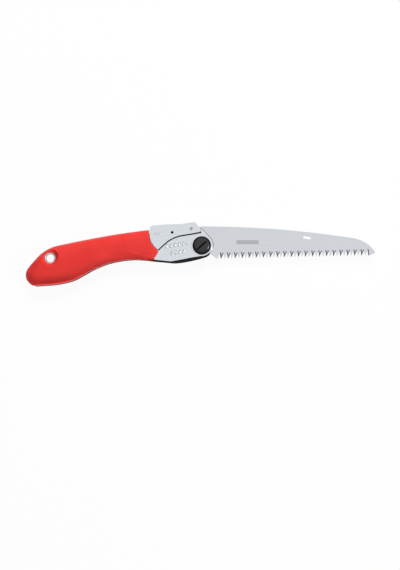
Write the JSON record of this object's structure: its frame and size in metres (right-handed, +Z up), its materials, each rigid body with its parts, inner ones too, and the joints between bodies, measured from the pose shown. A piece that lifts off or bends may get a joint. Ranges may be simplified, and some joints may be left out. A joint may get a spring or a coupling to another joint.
{
  "type": "folding pull saw",
  "caption": "Folding pull saw: coarse-toothed plated blade that turns on a slotted bolt and locks under a thumb lever, in a steel-fronted handle with a curved rubber grip.",
  "frame": {"origin": "under the middle of the open saw's bounding box, on the surface it lies on", "axes": "+X from the tail of the grip to the tip of the blade, +Y from the teeth to the spine, +Z up through the side with the bolt head"},
  "size_m": [0.375, 0.069, 0.022],
  "materials": {
    "rubber_red": "moulded, fine matt grain",
    "plated_steel": "satin plated",
    "blade_steel": "hard-chromed, satin",
    "black_nylon": "moulded, matt",
    "black_steel": "black coated, semi-gloss",
    "bare_steel": "turned, bare",
    "spring_steel": "drawn wire",
    "pale_nylon": "moulded, natural"
  },
  "bodies": {
    "handle": {"grip_rubber": "rubber_red", "side_plate_right": "plated_steel", "side_plate_left": "plated_steel", "liner_right": "black_nylon", "liner_left": "black_nylon", "back_spacer": "black_nylon", "frame_rivets": "bare_steel", "lanyard_eyelet": "plated_steel", "pivot_bolt": "black_steel", "bolt_ring": "plated_steel", "pivot_nut": "black_steel", "pivot_bush": "bare_steel", "washer_right": "pale_nylon", "washer_left": "pale_nylon", "lever_pin": "spring_steel", "lever_spring": "spring_steel"},
    "blade": {"blade": "blade_steel"},
    "lever": {"lock_lever": "plated_steel", "lock_pin": "bare_steel"}
  },
  "joints": [
    {"name": "blade_fold", "type": "hinge", "parent": "handle", "child": "blade", "pos_m": [0.00145, 0.0093, 0.011], "axis": [0, 0, 1], "range_deg": [-168, 22]},
    {"name": "lever_press", "type": "hinge", "parent": "handle", "child": "lever", "pos_m": [-0.03015, 0.0235, 0.011], "axis": [0, 0, 1], "range_deg": [-2.6, 2.5], "stiffness_Nm_per_rad": 0.8, "deforming": ["lever_spring"]}
  ]
}
